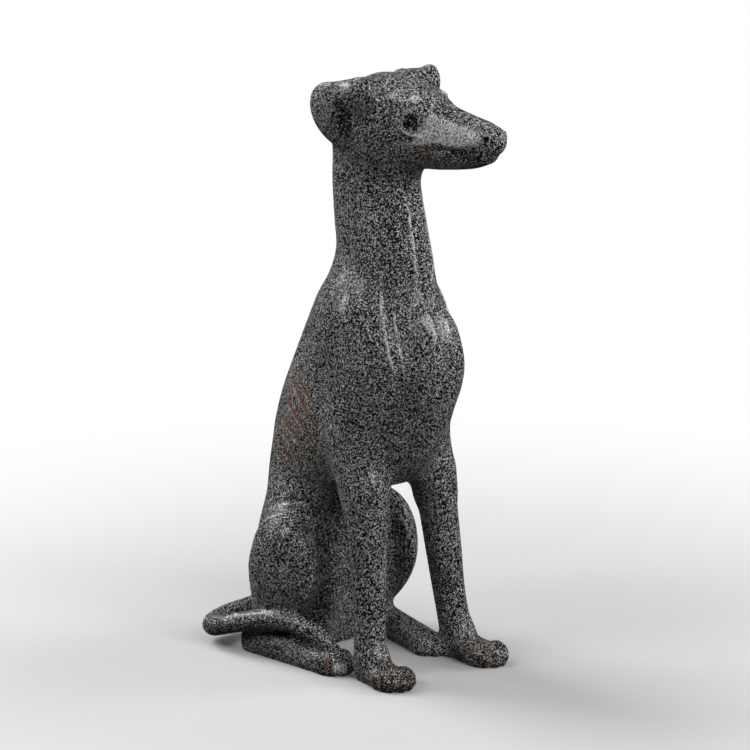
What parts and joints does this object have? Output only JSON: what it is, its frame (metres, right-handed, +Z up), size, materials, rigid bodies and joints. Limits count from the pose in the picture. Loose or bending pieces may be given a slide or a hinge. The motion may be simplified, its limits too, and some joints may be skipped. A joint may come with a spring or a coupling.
{
  "type": "greyhound sculpture",
  "caption": "Seated greyhound cast in one piece, dark speckled gloss paint, head facing ahead, tail swept round onto one hind foot; stands on its feet and seat.",
  "frame": {"origin": "middle of the footprint of the whole sculpture, on the ground", "axes": "+Z up, -Y the way the animal faces, +X its left side"},
  "size_m": [0.2623, 0.4321, 0.7649],
  "materials": {
    "painted_casting": "gloss black paint over a fine sand-cast skin, thickly speckled with silver grey, with a little brown in the rib grooves and on the paws"
  },
  "bodies": {
    "root": {"greyhound": "painted_casting"}
  },
  "joints": []
}
